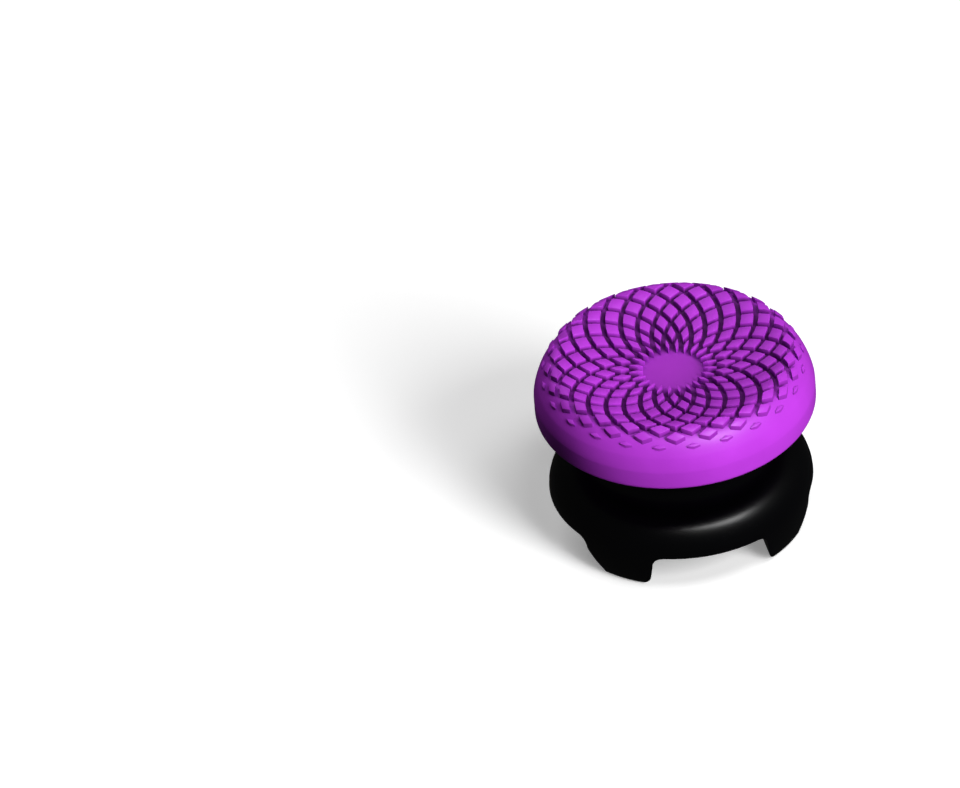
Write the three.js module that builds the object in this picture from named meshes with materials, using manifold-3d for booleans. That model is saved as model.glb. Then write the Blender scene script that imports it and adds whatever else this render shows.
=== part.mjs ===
// Tall thumb grip that clips onto a controller's thumbstick: a soft rubber cap with a grooved dish,
// moulded over the flanged neck of a hard plastic clip base.
// Millimetres, +Z up. The origin lies on the axis, level with the feet of the four clip tabs.
import * as THREE from "three";
import { mergeGeometries, mergeVertices } from "three/addons/utils/BufferGeometryUtils.js";
import Module from "manifold-3d";

const wasm = await Module();
wasm.setup();

// Socket for the head of the stick.
const socketRadius = 9.1;
const socketDepth = 4.35;
const lipReach = 0.65;
const lipLeadIn = 0.6;
const lipLand = 0.5;

// Shell of the base round the socket.
const skirtWall = 1.51;
const seatThickness = 1.41;
const shoulderRound = 2.6;
const footInset = 0.47;
const footEdge = 0.2;

// Four notches in the skirt, which leave the four clip tabs between them: a narrow pair, which cuts
// the front and the back, and a wide pair at the sides.
const notchHeight = 3.15;
const notchFillet = 1;
const narrowNotchWidth = 9.5;
const narrowNotchTaper = 0.1;
const narrowNotchCorner = 1.2;
const wideNotchWidth = 10.7;
const wideNotchTaper = 0.9;
const wideNotchCorner = 0.45;

// Neck, and the flange that holds the rubber.
const neckFlare = 1.3;
const neckHeight = 4.9;
const flangeReach = 1.45;
const flangeThickness = 1.1;

// Rubber cap.
const capRadius = 11.25;
const capLip = 0.85;
const capSkin = 1.09;
const capEdgeRound = 0.35;
const capWallHeight = 1.65;
const rimWidth = 2.05;
const rimTopPower = 1.82;
const rimFlankPower = 1.3;
const dishRadius = 35.6;
const mouldGap = 0.05;

// Tread: equal circular grooves that all pass through the axis, so that they cross in a rosette.
const grooveCount = 24;
const grooveWidth = 0.42;
const grooveDepth = 0.55;
const grooveMargin = 0.37;
const treadTurn = THREE.MathUtils.degToRad(2.7);
const smallestBlock = 0.2;
const blockRoot = 0.3;

// Fineness of the facets.
const facetsAround = 60;
const dishSteps = 5;
const rimSteps = 8;
const curveSteps = 4;

// Levels and radii that follow from the sizes above.
const bulgeRadius = socketRadius + skirtWall;
const shoulderTopZ = socketDepth + seatThickness;
const bulgeZ = shoulderTopZ - shoulderRound;
const footRadius = bulgeRadius - footInset;
const mouthRadius = socketRadius - lipReach;
const neckRadius = bulgeRadius - shoulderRound - neckFlare;
const flangeRadius = neckRadius + flangeReach;
const capUndersideZ = shoulderTopZ + neckHeight;
const flangeUndersideZ = capUndersideZ + capLip;
const flangeTopZ = flangeUndersideZ + flangeThickness;
const dishBottomZ = flangeTopZ + capSkin;
const widestZ = capUndersideZ + capWallHeight;
const crestRadius = capRadius - rimWidth;
const grooveCircle = capRadius - grooveMargin;

// A closed geometry as a solid for the boolean operations, and back.
function toSolid(geometry) {
  const bare = geometry.clone();
  bare.deleteAttribute("normal");
  bare.deleteAttribute("uv");
  const merged = mergeVertices(bare);
  return new wasm.Manifold(
    new wasm.Mesh({
      numProp: 3,
      vertProperties: merged.attributes.position.array,
      triVerts: new Uint32Array(merged.index.array),
    }),
  );
}

function toGeometry(solid) {
  const mesh = solid.getMesh();
  const geometry = new THREE.BufferGeometry();
  geometry.setAttribute("position", new THREE.BufferAttribute(mesh.vertProperties, 3));
  geometry.setIndex(new THREE.BufferAttribute(mesh.triVerts, 1));
  return geometry;
}

// A section, given as points (radius, height), turned round the Z axis.
function turned(points) {
  return new THREE.LatheGeometry(points, facetsAround).rotateX(Math.PI / 2);
}

// Height of the dish's floor, which is part of a large sphere.
function dishZ(radius) {
  return dishBottomZ + dishRadius - Math.sqrt(dishRadius ** 2 - radius ** 2);
}

// Height of the tops of the blocks: level with the dish as far as the crest, then down over the rim.
function blockTopZ(radius) {
  if (radius <= crestRadius) {
    return dishZ(radius) + grooveDepth;
  }
  const crestZ = dishZ(crestRadius) + grooveDepth;
  const share = Math.min((radius - crestRadius) / rimWidth, 1);
  const drop = (1 - share ** rimTopPower) ** (1 / rimFlankPower);
  return widestZ + (crestZ - widestZ) * drop;
}

// Height of the floor of the grooves, which rises to the rim where the groove circles end.
function floorZ(radius) {
  const fade = (grooveCircle - radius) / (grooveCircle - crestRadius);
  return blockTopZ(radius) - grooveDepth * THREE.MathUtils.clamp(fade, 0, 1);
}

// Body of the cap, without its blocks: dish, rim, side, underside and the cavity round the flange.
function capBody() {
  const points = [];
  for (let i = 0; i < dishSteps; i++) {
    const radius = (crestRadius * i) / dishSteps;
    points.push(new THREE.Vector2(radius, floorZ(radius)));
  }
  for (let i = 0; i < rimSteps; i++) {
    const angle = (Math.PI / 2) * (i / rimSteps);
    const radius = crestRadius + rimWidth * Math.sin(angle) ** (2 / rimTopPower);
    points.push(new THREE.Vector2(radius, floorZ(radius)));
  }
  const side = new THREE.Path();
  side.moveTo(capRadius, widestZ);
  side.lineTo(capRadius, capUndersideZ + capEdgeRound);
  side.absarc(capRadius - capEdgeRound, capUndersideZ + capEdgeRound, capEdgeRound, 0, -Math.PI / 2, true);
  side.lineTo(neckRadius + mouldGap, capUndersideZ);
  side.lineTo(neckRadius + mouldGap, flangeUndersideZ);
  side.lineTo(flangeRadius + mouldGap, flangeUndersideZ);
  side.lineTo(flangeRadius + mouldGap, flangeTopZ);
  side.lineTo(0, flangeTopZ);
  return turned([...points, ...side.getPoints(curveSteps / 2)].reverse());
}

// The crossing, further from the axis, of the edges of two grooves. Each groove is given by the
// direction of its circle's centre and by the side of the groove: 1 outside the circle, -1 inside.
function crossing(directionA, sideA, directionB, sideB) {
  const a = new THREE.Vector2(grooveCircle / 2, 0).rotateAround(new THREE.Vector2(), directionA);
  const b = new THREE.Vector2(grooveCircle / 2, 0).rotateAround(new THREE.Vector2(), directionB);
  const radiusA = (grooveCircle + sideA * grooveWidth) / 2;
  const radiusB = (grooveCircle + sideB * grooveWidth) / 2;
  const apart = a.distanceTo(b);
  const along = (apart ** 2 + radiusA ** 2 - radiusB ** 2) / (2 * apart);
  const across = Math.sqrt(radiusA ** 2 - along ** 2);
  const line = b.clone().sub(a).normalize();
  const foot = a.clone().addScaledVector(line, along);
  const normal = new THREE.Vector2(-line.y, line.x).multiplyScalar(across);
  const crossings = [foot.clone().add(normal), foot.clone().sub(normal)];
  return crossings.reduce((far, point) => (point.length() > far.length() ? point : far));
}

// One block of a row, centred on direction 0: a four-cornered prism between four grooves, with its
// root sunk in the cap. Rows count inwards from the rim, and a row with no room for a block has none.
function rowBlock(row) {
  const pitch = Math.PI / grooveCount;
  const outer = crossing(pitch * (row - 1), -1, -pitch * (row - 1), -1);
  const left = crossing(pitch * (row + 1), 1, -pitch * (row - 1), -1);
  const inner = crossing(pitch * (row + 1), 1, -pitch * (row + 1), 1);
  if (!(outer.x - inner.x > smallestBlock)) {
    return null;
  }
  const right = new THREE.Vector2(left.x, -left.y);
  const shape = new THREE.Shape([outer, left, inner, right]);
  const block = new THREE.ExtrudeGeometry(shape, { depth: 1, bevelEnabled: false });
  const position = block.attributes.position;
  for (let i = 0; i < position.count; i++) {
    const radius = Math.hypot(position.getX(i), position.getY(i));
    const isTop = position.getZ(i) > 0.5;
    position.setZ(i, isTop ? blockTopZ(radius) : floorZ(radius) - blockRoot);
  }
  return block;
}

// All blocks of the tread. Odd rows stand on the directions of the circles' centres, even rows between.
function treadBlocks() {
  const blocks = [];
  const pitch = Math.PI / grooveCount;
  for (let row = 1; row < grooveCount / 2; row++) {
    const block = rowBlock(row);
    if (!block) {
      continue;
    }
    const rowTurn = treadTurn + (row % 2 === 0 ? pitch : 0);
    for (let i = 0; i < grooveCount; i++) {
      blocks.push(block.clone().rotateZ(rowTurn + 2 * pitch * i));
    }
  }
  return mergeGeometries(blocks);
}

// Clip base before its notches are cut: feet, skirt, shoulder, neck, flange and the socket inside.
function baseBody() {
  const outline = new THREE.Path();
  outline.moveTo(0, socketDepth);
  outline.lineTo(socketRadius, socketDepth);
  outline.lineTo(socketRadius, lipLeadIn + lipLand + lipReach);
  outline.lineTo(mouthRadius, lipLeadIn + lipLand);
  outline.lineTo(mouthRadius, lipLeadIn);
  outline.lineTo(mouthRadius + lipLeadIn, 0);
  outline.lineTo(footRadius - footEdge, 0);
  outline.lineTo(footRadius, footEdge);
  outline.quadraticCurveTo(bulgeRadius, bulgeZ / 2, bulgeRadius, bulgeZ);
  outline.absarc(bulgeRadius - shoulderRound, bulgeZ, shoulderRound, 0, Math.PI / 2, false);
  outline.absarc(neckRadius + neckFlare, shoulderTopZ + neckFlare, neckFlare, -Math.PI / 2, -Math.PI, true);
  outline.lineTo(neckRadius, flangeUndersideZ);
  outline.lineTo(flangeRadius, flangeUndersideZ);
  outline.lineTo(flangeRadius, flangeTopZ);
  outline.lineTo(0, flangeTopZ);
  return turned(outline.getPoints(curveSteps));
}

// Cutter for two notches that face each other. The width is the one at the top, the taper widens each
// side towards the feet, and the corner rounds the foot of the tab beside it.
function notchPair(width, taper, corner) {
  const below = -1;
  const topHalf = width / 2;
  const footHalf = topHalf + taper;
  const half = new THREE.Path();
  half.moveTo(footHalf + corner, below);
  half.lineTo(footHalf + corner, 0);
  half.quadraticCurveTo(footHalf, 0, footHalf, corner);
  half.lineTo(topHalf, notchHeight - notchFillet);
  half.quadraticCurveTo(topHalf, notchHeight, topHalf - notchFillet, notchHeight);
  const right = half.getPoints(curveSteps);
  const left = right.map((point) => new THREE.Vector2(-point.x, point.y)).reverse();
  const shape = new THREE.Shape([...right, ...left]);
  const length = 2 * (bulgeRadius + 1);
  const cutter = new THREE.ExtrudeGeometry(shape, { depth: length, bevelEnabled: false });
  return cutter.translate(0, 0, -length / 2).rotateX(Math.PI / 2);
}

const rubber = new THREE.MeshStandardMaterial({ color: "#b22fd9", roughness: 0.6, metalness: 0 });
const blackPlastic = new THREE.MeshStandardMaterial({ color: "#0c0c0e", roughness: 0.35, metalness: 0 });

const capSolid = toSolid(capBody()).add(toSolid(treadBlocks()));
const cap = new THREE.Mesh(toGeometry(capSolid), rubber);
cap.name = "grip_cap";

const baseSolid = toSolid(baseBody())
  .subtract(toSolid(notchPair(narrowNotchWidth, narrowNotchTaper, narrowNotchCorner)))
  .subtract(toSolid(notchPair(wideNotchWidth, wideNotchTaper, wideNotchCorner).rotateZ(Math.PI / 2)));
const base = new THREE.Mesh(toGeometry(baseSolid), blackPlastic);
base.name = "clip_base";

const grip = new THREE.Group();
grip.name = "thumb_grip";
grip.add(base, cap);

export default grip;
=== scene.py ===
import math

import bmesh
import bpy
from mathutils import Matrix, Quaternion, Vector


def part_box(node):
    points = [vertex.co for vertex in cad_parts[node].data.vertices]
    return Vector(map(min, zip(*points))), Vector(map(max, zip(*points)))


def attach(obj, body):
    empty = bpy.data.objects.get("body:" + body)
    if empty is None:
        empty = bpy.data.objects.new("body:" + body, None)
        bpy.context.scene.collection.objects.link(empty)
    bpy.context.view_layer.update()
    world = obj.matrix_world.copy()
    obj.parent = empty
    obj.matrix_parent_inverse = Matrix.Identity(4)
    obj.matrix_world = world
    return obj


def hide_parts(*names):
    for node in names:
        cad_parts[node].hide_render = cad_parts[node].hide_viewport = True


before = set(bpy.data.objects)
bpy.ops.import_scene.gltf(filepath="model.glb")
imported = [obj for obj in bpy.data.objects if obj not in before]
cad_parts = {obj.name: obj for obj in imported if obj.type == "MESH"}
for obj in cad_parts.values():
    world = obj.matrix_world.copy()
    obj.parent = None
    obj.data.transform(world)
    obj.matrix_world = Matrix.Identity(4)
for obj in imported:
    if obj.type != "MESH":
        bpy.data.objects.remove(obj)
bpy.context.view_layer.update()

scene = bpy.context.scene
scene.view_settings.view_transform = "Standard"

# Camera. It stands far off with a long lens, so the grip shows with hardly any perspective. It looks
# down on the dish from the front, a little from the left, and leans sideways as the photograph does.
image_width = 960
image_height = 788
pixels_per_metre = 12551
camera_distance = 1.125
camera_azimuth = math.radians(-11.2)
camera_elevation = math.radians(37.8)
camera_lean = math.radians(4.33)
dish_bottom = Vector((0, 0, 0.0137))
dish_bottom_pixel = (673.33, 372.74)


def towards(azimuth, elevation):
    """Direction from the grip to something seen at that azimuth and elevation; azimuth 0 is the front."""
    flat = math.cos(elevation)
    return Vector((math.sin(azimuth) * flat, -math.cos(azimuth) * flat, math.sin(elevation)))


camera_data = bpy.data.cameras.new("camera")
camera = bpy.data.objects.new("camera", camera_data)
scene.collection.objects.link(camera)
scene.camera = camera
focal_pixels = pixels_per_metre * camera_distance
camera_data.lens = camera_data.sensor_width * focal_pixels / image_width
camera_data.clip_start = 0.01
back = towards(camera_azimuth, camera_elevation)
camera.location = dish_bottom + back * camera_distance
upright = back.to_track_quat("Z", "Y")
lean = Quaternion((0, 0, 1), -camera_lean)
straight_ahead = Vector((0, 0, -1))
dish_sight = Vector((
    dish_bottom_pixel[0] - image_width / 2,
    image_height / 2 - dish_bottom_pixel[1],
    -focal_pixels,
))
aim = dish_sight.rotation_difference(straight_ahead)
camera.rotation_mode = "QUATERNION"
camera.rotation_quaternion = upright @ lean @ aim

# Rubber cap. It is one moulding of soft rubber, shot over the flange of the base. Its dished top
# carries a tread of small blocks, left standing between circular grooves that all cross the axis.
mm = 0.001
steps_around = 240
same_place = 0.001 * mm
smooth_angle = math.radians(38)

# Outside of the cap. The two powers bend the rim between its crest and the widest place below it.
cap_low, cap_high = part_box("grip_cap")
cap_radius = cap_high.x
cap_underside = cap_low.z
cap_edge_round = 0.35 * mm
cap_edge_steps = 6
widest_z = cap_underside + 1.65 * mm
rim_width = 2.05 * mm
rim_top_power = 1.82
rim_flank_power = 1.3
crest_radius = cap_radius - rim_width
dish_radius = 35.6 * mm

# Tread. Rows of blocks are counted inwards from the ends of the grooves. The first stays bare as part
# of the rim, and the last as the disc in the middle. The tops of the outer rows rise towards the rim.
groove_count = 24
groove_pitch = math.pi / groove_count
groove_width = 0.42 * mm
groove_depth = 0.55 * mm
floor_fade_power = 0.8
groove_circle = cap_radius - 0.37 * mm
tread_turn = math.radians(2.7)
block_rows = range(2, groove_count // 2 - 1)
block_root = 0.2 * mm
block_edge_round = 0.03 * mm
rim_block_rise = {2: 0.18 * mm, 3: 0.16 * mm, 4: 0.06 * mm}
rim_block_step = 0.07 * mm
side_steps = 2

# Hollow of the cap, which fits round the neck and the flange of the base.
base_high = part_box("clip_base")[1]
flange_top = base_high.z
flange_underside = flange_top - 1.1 * mm
mould_gap = 0.05 * mm
neck_radius = 6.71 * mm
flange_radius = neck_radius + 1.45 * mm


def dish_z(radius):
    """Height of the dish's floor, part of a large sphere."""
    return dish_bottom.z + dish_radius - math.sqrt(dish_radius**2 - radius**2)


def block_top_z(radius):
    """Height of the tops of the blocks, which follow the dish to its crest and then the rim."""
    if radius <= crest_radius:
        return dish_z(radius) + groove_depth
    crest_z = dish_z(crest_radius) + groove_depth
    share = min((radius - crest_radius) / rim_width, 1)
    return widest_z + (crest_z - widest_z) * (1 - share**rim_top_power) ** (1 / rim_flank_power)


def floor_z(radius):
    """Height of the groove floors, which rise to the rim where the groove circles end."""
    fade = min(max((groove_circle - radius) / (groove_circle - crest_radius), 0), 1)
    return block_top_z(radius) - groove_depth * fade**floor_fade_power


def arc(centre, radius, start, end, steps):
    """Points (radius, height) along an arc of a section, with its angles in quarter turns."""
    angles = [math.pi / 2 * (start + (end - start) * i / steps) for i in range(steps + 1)]
    return [(centre[0] + radius * math.cos(a), centre[1] + radius * math.sin(a)) for a in angles]


def curve(start, middle, end, steps):
    """Points of a curve that leaves its start towards a middle point and comes to its end from there."""
    shares = [i / steps for i in range(steps + 1)]
    return [
        tuple((1 - t) ** 2 * a + 2 * t * (1 - t) * b + t**2 * c for a, b, c in zip(start, middle, end))
        for t in shares
    ]


def spun(points):
    """A mesh made by turning an open section, given as points (radius, height), round the axis."""
    mesh = bmesh.new()
    verts = [mesh.verts.new((radius, 0, height)) for radius, height in points]
    edges = [mesh.edges.new(pair) for pair in zip(verts, verts[1:])]
    bmesh.ops.spin(
        mesh, geom=verts + edges, cent=(0, 0, 0), axis=(0, 0, 1), angle=math.tau,
        steps=steps_around, use_merge=True, use_duplicate=False,
    )
    bmesh.ops.remove_doubles(mesh, verts=mesh.verts, dist=same_place)
    bmesh.ops.recalc_face_normals(mesh, faces=mesh.faces)
    return mesh


def as_object(name, mesh):
    """A finished bmesh as a smooth-shaded object at the origin."""
    data = bpy.data.meshes.new(name)
    mesh.to_mesh(data)
    mesh.free()
    data.shade_smooth()
    piece = bpy.data.objects.new(name, data)
    scene.collection.objects.link(piece)
    return piece


def joined(piece, operation, other):
    """Joins another solid to a piece, or cuts it away, and deletes the other."""
    boolean = piece.modifiers.new(operation, "BOOLEAN")
    boolean.operation = operation
    boolean.solver = "MANIFOLD"
    boolean.object = other
    finished = piece.evaluated_get(bpy.context.evaluated_depsgraph_get())
    data = bpy.data.meshes.new_from_object(finished)
    piece.modifiers.clear()
    piece.data = data
    bpy.data.objects.remove(other)


def shade_evenly(piece):
    """Shades a finished piece smooth, and keeps its edges crisp and its flat faces flat."""
    piece.data.shade_smooth()
    piece.data.set_sharp_from_angle(angle=smooth_angle)
    weighted = piece.modifiers.new("even_shading", "WEIGHTED_NORMAL")
    weighted.keep_sharp = True


def groove_edge(direction, side):
    """Centre and radius of one edge of the groove whose circle lies that way: side 1 is outside it."""
    centre = Vector((math.cos(direction), math.sin(direction))) * groove_circle / 2
    return centre, (groove_circle + side * groove_width) / 2


def crossing(edge_a, edge_b):
    """Where two groove edges cross, away from the axis."""
    (centre_a, radius_a), (centre_b, radius_b) = edge_a, edge_b
    line = centre_b - centre_a
    along = (line.length_squared + radius_a**2 - radius_b**2) / (2 * line.length)
    across = line.orthogonal().normalized() * math.sqrt(radius_a**2 - along**2)
    foot = centre_a + line.normalized() * along
    return max(foot + across, foot - across, key=lambda point: point.length)


def block_outline(row):
    """Outline of a block of that row, bounded by the edges of four grooves."""
    outer = groove_pitch * (row - 1)
    inner = groove_pitch * (row + 1)
    outer_left = groove_edge(outer, -1)
    outer_right = groove_edge(-outer, -1)
    inner_left = groove_edge(inner, 1)
    inner_right = groove_edge(-inner, 1)
    corners = [
        crossing(outer_left, outer_right),
        crossing(inner_left, outer_right),
        crossing(inner_left, inner_right),
        crossing(outer_left, inner_right),
    ]
    outline = []
    sides = [outer_right, inner_left, inner_right, outer_left]
    for start, end, (centre, radius) in zip(corners, corners[1:] + corners[:1], sides):
        for i in range(side_steps):
            out = start.lerp(end, i / side_steps) - centre
            outline.append(centre + out.normalized() * radius)
    return outline


def row_block(row):
    """One block, centred on the X axis: flat on top, with rounded edges, its root sunk in the cap.

    On the rim a block's top rises outwards, and in the outermost row it starts just above the rim.
    """
    outline = block_outline(row)
    block = bmesh.new()
    root = block.faces.new([block.verts.new((*point, 0)) for point in outline])
    top = bmesh.ops.extrude_face_region(block, geom=[root])["geom"]
    top_verts = [item for item in top if isinstance(item, bmesh.types.BMVert)]
    for vert in block.verts:
        vert.co.z = floor_z(Vector(vert.co.xy).length) - block_root
    inner_end = min(point.x for point in outline)
    outer_end = max(point.x for point in outline)
    for vert in top_verts:
        radius = Vector(vert.co.xy).length
        share = (vert.co.x - inner_end) / (outer_end - inner_end)
        start = floor_z(radius) + rim_block_step if row == block_rows[0] else block_top_z(radius)
        vert.co.z = start + rim_block_rise.get(row, 0) * share
    # On one of the rows the recalculated normals point inwards, so the sign of the volume decides.
    bmesh.ops.recalc_face_normals(block, faces=block.faces)
    if block.calc_volume(signed=True) < 0:
        bmesh.ops.reverse_faces(block, faces=block.faces)
    rims = [e for e in block.edges if all(v in top_verts for v in e.verts)]
    corners = [Vector((*outline[i * side_steps], 0)) for i in range(4)]
    uprights = [
        e for e in block.edges
        if (e.verts[0] in top_verts) != (e.verts[1] in top_verts)
        and any((Vector((*e.verts[0].co.xy, 0)) - corner).length < same_place for corner in corners)
    ]
    bmesh.ops.bevel(
        block, geom=rims + uprights, offset=block_edge_round, affect="EDGES", segments=2, profile=0.5,
        material=-1, clamp_overlap=True,
    )
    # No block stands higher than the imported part.
    for vert in block.verts:
        vert.co.z = min(vert.co.z, cap_high.z)
    return block


tread = bmesh.new()
for row in block_rows:
    block = row_block(row)
    row_turn = tread_turn + (groove_pitch if row % 2 == 0 else 0)
    row_matrix = Quaternion((0, 0, 1), row_turn).to_matrix()
    bmesh.ops.rotate(block, verts=block.verts, cent=(0, 0, 0), matrix=row_matrix)
    bmesh.ops.spin(
        block, geom=block.verts[:] + block.edges[:] + block.faces[:], cent=(0, 0, 0), axis=(0, 0, 1),
        angle=math.tau * (groove_count - 1) / groove_count, steps=groove_count - 1, use_duplicate=True,
    )
    row_data = bpy.data.meshes.new("row")
    block.to_mesh(row_data)
    block.free()
    tread.from_mesh(row_data)
    bpy.data.meshes.remove(row_data)

dish_steps = 24
rim_steps = 32
inner_radius = neck_radius + mould_gap
cavity_radius = flange_radius + mould_gap
cap_section = []
for i in range(dish_steps):
    radius = crest_radius * i / dish_steps
    cap_section.append((radius, floor_z(radius)))
for i in range(rim_steps):
    radius = crest_radius + rim_width * math.sin(math.pi / 2 * i / rim_steps) ** (2 / rim_top_power)
    cap_section.append((radius, floor_z(radius)))
cap_section.append((cap_radius, widest_z))
edge_centre = (cap_radius - cap_edge_round, cap_underside + cap_edge_round)
cap_section += arc(edge_centre, cap_edge_round, 0, -1, cap_edge_steps)
cap_section += [
    (inner_radius, cap_underside),
    (inner_radius, flange_underside),
    (cavity_radius, flange_underside),
    (cavity_radius, flange_top),
    (0, flange_top),
]
cap = as_object("rubber_cap", spun(cap_section))
joined(cap, "UNION", as_object("tread", tread))
shade_evenly(cap)

# The depth of each point in the grooves, from 0 on top of the blocks to 1 on a floor, for the material,
# which paints shade into the colour by it. It fades out towards the bare rim, where only the steep
# walls of the blocks keep some of it as painted shade.
floor_tolerance = 0.02 * mm
rim_wall_shade = 0.38
steep_normal_z = 0.3
bare_rim_radius = crest_radius + 0.8 * mm
rim_shade_width = 1.4 * mm
groove_shade = cap.data.attributes.new("groove_shade", "FLOAT", "CORNER")
for face in cap.data.polygons:
    for corner in face.loop_indices:
        point = cap.data.vertices[cap.data.loops[corner].vertex_index].co
        radius = Vector(point.xy).length
        if radius < groove_circle and point.z > floor_z(radius) - floor_tolerance:
            depth = min(max((block_top_z(radius) - point.z) / groove_depth, 0), 1)
            inside = min(max((bare_rim_radius - radius) / rim_shade_width, 0), 1)
            if abs(face.normal.z) < steep_normal_z:
                groove_shade.data[corner].value = max(depth, rim_wall_shade * (1 - inside))
            else:
                groove_shade.data[corner].value = depth * inside
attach(cap, "root")
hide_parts("grip_cap")


def linear(colour):
    """An sRGB hex colour as linear red, green, blue and alpha."""
    parts = [int(colour[i:i + 2], 16) / 255 for i in (1, 3, 5)]
    return (*[c / 12.92 if c <= 0.04045 else ((c + 0.055) / 1.055) ** 2.4 for c in parts], 1)


def add_node(tree, kind, values=(), links=(), **settings):
    """Adds a node, sets its properties and sockets, and links its inputs to other nodes' outputs."""
    node = tree.nodes.new(kind)
    for name, value in settings.items():
        setattr(node, name, value)
    for name, value in dict(values).items():
        node.inputs[name].default_value = value
    for name, output in dict(links).items():
        tree.links.new(output, node.inputs[name])
    return node


def new_material(name):
    """An empty material and its node tree."""
    material = bpy.data.materials.new(name)
    material.use_nodes = True
    material.node_tree.nodes.clear()
    return material, material.node_tree


# Moulded thermoplastic rubber. The mould's fine spark-eroded skin leaves it satin, with a soft
# highlight, and the colour is in the rubber itself, so it varies only a little. Deep in the grooves the
# colour is painted darker, as painted shade where the walls on both sides keep the light out; the disc
# in the middle is painted only a little darker.
# The grain is drawn coarser than on the real skin, so that it shows.
rubber, tree = new_material("moulded_rubber_satin")
grain_size = 0.12 * mm
grain_depth = 0.01 * mm
flow_size = 4 * mm
disc_radius = 2.3 * mm
disc_fade = 0.8 * mm
disc_share = 0.22
half_deep_brightness = 0.61
deepest_brightness = 0.26
smoothest_rubber = 0.38
roughest_rubber = 0.48
place = add_node(tree, "ShaderNodeTexCoord").outputs["Object"]
grain = add_node(tree, "ShaderNodeTexNoise", {"Scale": 1 / grain_size, "Detail": 3}, {"Vector": place})
flow = add_node(tree, "ShaderNodeTexNoise", {"Scale": 1 / flow_size, "Detail": 2}, {"Vector": place})
groove = add_node(tree, "ShaderNodeAttribute", attribute_name="groove_shade").outputs["Fac"]
flat_place = add_node(tree, "ShaderNodeVectorMath", {1: (1, 1, 0)}, {0: place}, operation="MULTIPLY")
off_axis = add_node(
    tree, "ShaderNodeVectorMath", links={0: flat_place.outputs["Vector"]}, operation="LENGTH",
)
tread_share = add_node(
    tree, "ShaderNodeMapRange",
    {"From Min": disc_radius, "From Max": disc_radius + disc_fade, "To Min": disc_share},
    {"Value": off_axis.outputs["Value"]},
)
# Painted shade: the colour darkens with the depth in the grooves, and a little on the disc in the middle.
darkening = add_node(
    tree, "ShaderNodeMath", links={0: groove, 1: tread_share.outputs["Result"]}, operation="MULTIPLY",
)
shade = add_node(tree, "ShaderNodeValToRGB", links={"Fac": darkening.outputs["Value"]})
shade.color_ramp.elements[0].color = (1, 1, 1, 1)
shade.color_ramp.elements[1].color = (*[deepest_brightness] * 3, 1)
shade.color_ramp.elements.new(0.5).color = (*[half_deep_brightness] * 3, 1)
tint = add_node(tree, "ShaderNodeValToRGB", links={"Fac": flow.outputs["Fac"]})
tint.color_ramp.elements[0].position = 0.3
tint.color_ramp.elements[0].color = linear("#ae36cc")
tint.color_ramp.elements[1].position = 0.7
tint.color_ramp.elements[1].color = linear("#b63ad5")
colour = add_node(
    tree, "ShaderNodeMix", {"Factor": 1}, {6: tint.outputs["Color"], 7: shade.outputs["Color"]},
    data_type="RGBA", blend_type="MULTIPLY",
)
satin = add_node(
    tree, "ShaderNodeMapRange", {"To Min": smoothest_rubber, "To Max": roughest_rubber},
    {"Value": grain.outputs["Fac"]},
)
skin = add_node(
    tree, "ShaderNodeBump", {"Strength": 0.25, "Distance": grain_depth}, {"Height": grain.outputs["Fac"]},
)
surface = add_node(
    tree, "ShaderNodeBsdfPrincipled", {"IOR": 1.45, "Specular IOR Level": 0.38},
    {
        "Base Color": colour.outputs[2],
        "Roughness": satin.outputs["Result"],
        "Normal": skin.outputs["Normal"],
    },
)
add_node(tree, "ShaderNodeOutputMaterial", links={"Surface": surface.outputs["BSDF"]})
cap.data.materials.clear()
cap.data.materials.append(rubber)

# Clip base. It is one moulding of hard black plastic: four clip tabs with a lip inside, a skirt and
# shoulder round the socket, and a neck whose flange the rubber is moulded over.
socket_radius = 9.1 * mm
socket_depth = 4.35 * mm
lip_reach = 0.65 * mm
lip_lead_in = 0.6 * mm
lip_land = 0.5 * mm
base_radius = base_high.x
shoulder_round = 2.6 * mm
shoulder_top = cap_underside - 4.9 * mm
bulge_z = shoulder_top - shoulder_round
foot_radius = base_radius - 0.47 * mm
foot_edge = 0.2 * mm
neck_flare = 1.3 * mm
notch_height = 3.15 * mm
notch_fillet = 1 * mm
narrow_notch = {"width": 9.5 * mm, "taper": 0.1 * mm, "corner": 1.2 * mm}
wide_notch = {"width": 10.7 * mm, "taper": 0.9 * mm, "corner": 0.45 * mm}
mould_edge_round = 0.1 * mm
mould_edge_angle = math.radians(35)
cutter_margin = 1 * mm
cut_crumb = 0.02 * mm
mouth_radius = socket_radius - lip_reach
curve_steps = 10
base_section = [
    (0, socket_depth),
    (socket_radius, socket_depth),
    (socket_radius, lip_lead_in + lip_land + lip_reach),
    (mouth_radius, lip_lead_in + lip_land),
    (mouth_radius, lip_lead_in),
    (mouth_radius + lip_lead_in, 0),
    (foot_radius - foot_edge, 0),
]
skirt_bend = (base_radius, bulge_z / 2)
base_section += curve((foot_radius, foot_edge), skirt_bend, (base_radius, bulge_z), curve_steps)
base_section += arc((base_radius - shoulder_round, bulge_z), shoulder_round, 0, 1, curve_steps)[1:]
flare_centre = (neck_radius + neck_flare, shoulder_top + neck_flare)
base_section += arc(flare_centre, neck_flare, -1, -2, curve_steps)
base_section += [
    (neck_radius, flange_underside),
    (flange_radius, flange_underside),
    (flange_radius, flange_top),
    (0, flange_top),
]


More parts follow.
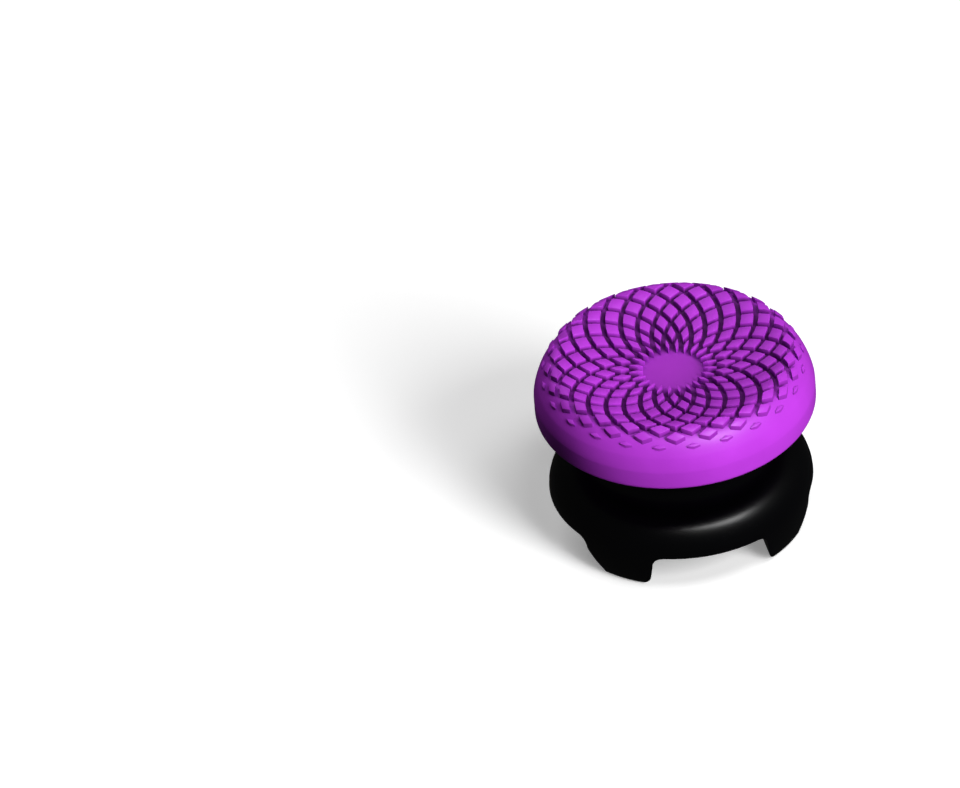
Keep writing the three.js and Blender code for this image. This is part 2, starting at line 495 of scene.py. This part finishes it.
def notch_cutter(width, taper, corner):
    """A long block that cuts two facing notches; it widens towards the feet and rounds their corners."""
    top = width / 2
    foot = top + taper
    half = [(foot + corner, -cutter_margin)]
    half += curve((foot + corner, 0), (foot, 0), (foot, corner), curve_steps)
    fillet_start = (top, notch_height - notch_fillet)
    half += curve(fillet_start, (top, notch_height), (top - notch_fillet, notch_height), curve_steps)
    outline = half + [(-x, z) for x, z in reversed(half)]
    cutter = bmesh.new()
    reach = base_radius + cutter_margin
    end = cutter.faces.new([cutter.verts.new((x, -reach, z)) for x, z in outline])
    other_end = bmesh.ops.extrude_face_region(cutter, geom=[end])["geom"]
    far_verts = [item for item in other_end if isinstance(item, bmesh.types.BMVert)]
    bmesh.ops.translate(cutter, verts=far_verts, vec=(0, 2 * reach, 0))
    bmesh.ops.recalc_face_normals(cutter, faces=cutter.faces)
    return cutter


base = as_object("hard_clip_base", spun(base_section))
joined(base, "DIFFERENCE", as_object("narrow_notches", notch_cutter(**narrow_notch)))
side_cutter = notch_cutter(**wide_notch)
quarter_turn = Quaternion((0, 0, 1), math.pi / 2).to_matrix()
bmesh.ops.rotate(side_cutter, verts=side_cutter.verts, cent=(0, 0, 0), matrix=quarter_turn)
joined(base, "DIFFERENCE", as_object("wide_notches", side_cutter))
base_mesh = bmesh.new()
base_mesh.from_mesh(base.data)
bmesh.ops.remove_doubles(base_mesh, verts=base_mesh.verts, dist=cut_crumb)
sharp_edges = [e for e in base_mesh.edges if e.is_manifold and e.calc_face_angle() > mould_edge_angle]
bmesh.ops.bevel(
    base_mesh, geom=sharp_edges, offset=mould_edge_round, affect="EDGES", segments=3, profile=0.5,
    material=-1, clamp_overlap=True,
)
bmesh.ops.dissolve_degenerate(base_mesh, edges=base_mesh.edges, dist=same_place)
base_mesh.to_mesh(base.data)
base_mesh.free()
shade_evenly(base)
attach(base, "root")
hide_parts("clip_base")

# Black ABS from a finely polished mould. It has a soft shine, with the faintest waviness where the
# plastic flowed, and shows hardly any colour of its own.
plastic, tree = new_material("moulded_black_abs")
sink_size = 5 * mm
texture_size = 0.15 * mm
texture_depth = 0.01 * mm
smoothest_plastic = 0.27
roughest_plastic = 0.33
place = add_node(tree, "ShaderNodeTexCoord").outputs["Object"]
sink = add_node(tree, "ShaderNodeTexNoise", {"Scale": 1 / sink_size, "Detail": 2}, {"Vector": place})
haze = add_node(
    tree, "ShaderNodeMapRange", {"To Min": smoothest_plastic, "To Max": roughest_plastic},
    {"Value": sink.outputs["Fac"]},
)
texture = add_node(
    tree, "ShaderNodeTexNoise", {"Scale": 1 / texture_size, "Detail": 2}, {"Vector": place},
)
skin = add_node(
    tree, "ShaderNodeBump", {"Strength": 0.1, "Distance": texture_depth},
    {"Height": texture.outputs["Fac"]},
)
surface = add_node(
    tree, "ShaderNodeBsdfPrincipled",
    {"Base Color": linear("#020203"), "IOR": 1.5, "Specular IOR Level": 0.92},
    {"Roughness": haze.outputs["Result"], "Normal": skin.outputs["Normal"]},
)
add_node(tree, "ShaderNodeOutputMaterial", links={"Surface": surface.outputs["BSDF"]})
base.data.materials.clear()
base.data.materials.append(plastic)

# Floor. A plain pale studio board that the grip stands on. It glows faintly, so its shadows stay
# light, and it throws no light back, which keeps the walls of the grip as dark as in the photograph.
# The board lies just under the feet, because two faces in one plane flicker.
floor_size = 4
foot_clearance = 0.01 * mm
floor_glow = 0.25
board = bmesh.new()
bmesh.ops.create_grid(board, x_segments=1, y_segments=1, size=floor_size / 2)
bmesh.ops.translate(board, verts=board.verts, vec=(0, 0, -foot_clearance))
floor = as_object("floor", board)
paint, tree = new_material("matt_white_board")
surface = add_node(
    tree, "ShaderNodeBsdfPrincipled",
    {
        "Base Color": linear("#fefefe"), "Roughness": 0.9, "Specular IOR Level": 0.1,
        "Emission Color": linear("#ffffff"), "Emission Strength": floor_glow,
    },
)
add_node(tree, "ShaderNodeOutputMaterial", links={"Surface": surface.outputs["BSDF"]})
floor.data.materials.append(paint)
floor.visible_diffuse = False
floor.visible_glossy = False

# Light. A tall soft box at the front right gives most of it. One above it leaves the highlight on the
# base, a third lights the tops of the blocks from behind, and a dim pale room fills the shadows.
light_distance = 0.8
room_brightness = 0.015


def soft_box(name, azimuth, elevation, width, height, power, mirrored=False):
    """A soft light facing the grip, its width along X. It is seen as a highlight, or not at all."""
    data = bpy.data.lights.new(name, "AREA")
    data.shape = "RECTANGLE"
    data.size = width
    data.size_y = height
    data.energy = power
    direction = towards(math.radians(azimuth), math.radians(elevation))
    level = (Vector((1, 0, 0)) - direction * direction.x).normalized()
    lamp = bpy.data.objects.new(name, data)
    lamp.location = Vector((0, 0, cap_high.z / 2)) + direction * light_distance
    lamp.rotation_mode = "QUATERNION"
    facing = Matrix((level, direction.cross(level), direction)).transposed()
    lamp.rotation_quaternion = facing.to_quaternion()
    lamp.visible_camera = False
    lamp.visible_glossy = mirrored
    scene.collection.objects.link(lamp)
    return lamp


soft_box("key_light", azimuth=45, elevation=68, width=0.42, height=0.24, power=1.9, mirrored=True)
soft_box("front_light", azimuth=30, elevation=24, width=0.32, height=0.7, power=9.1)
soft_box("back_light", azimuth=-160, elevation=42, width=0.5, height=0.5, power=1.9)

# A small lamp puts the pale sheen on the front right of the rubber rim, and lights nothing else.
sheen_light = soft_box(
    "sheen_light", azimuth=30, elevation=50, width=0.2, height=0.2, power=5, mirrored=True,
)
sheen_light.visible_diffuse = False
sheen_light.light_linking.receiver_collection = bpy.data.collections.new("lit_by_sheen_light")
sheen_light.light_linking.receiver_collection.objects.link(cap)

room = bpy.data.worlds.new("pale_room")
room.use_nodes = True
room.node_tree.nodes["Background"].inputs["Color"].default_value = linear("#ffffff")
room.node_tree.nodes["Background"].inputs["Strength"].default_value = room_brightness
scene.world = room
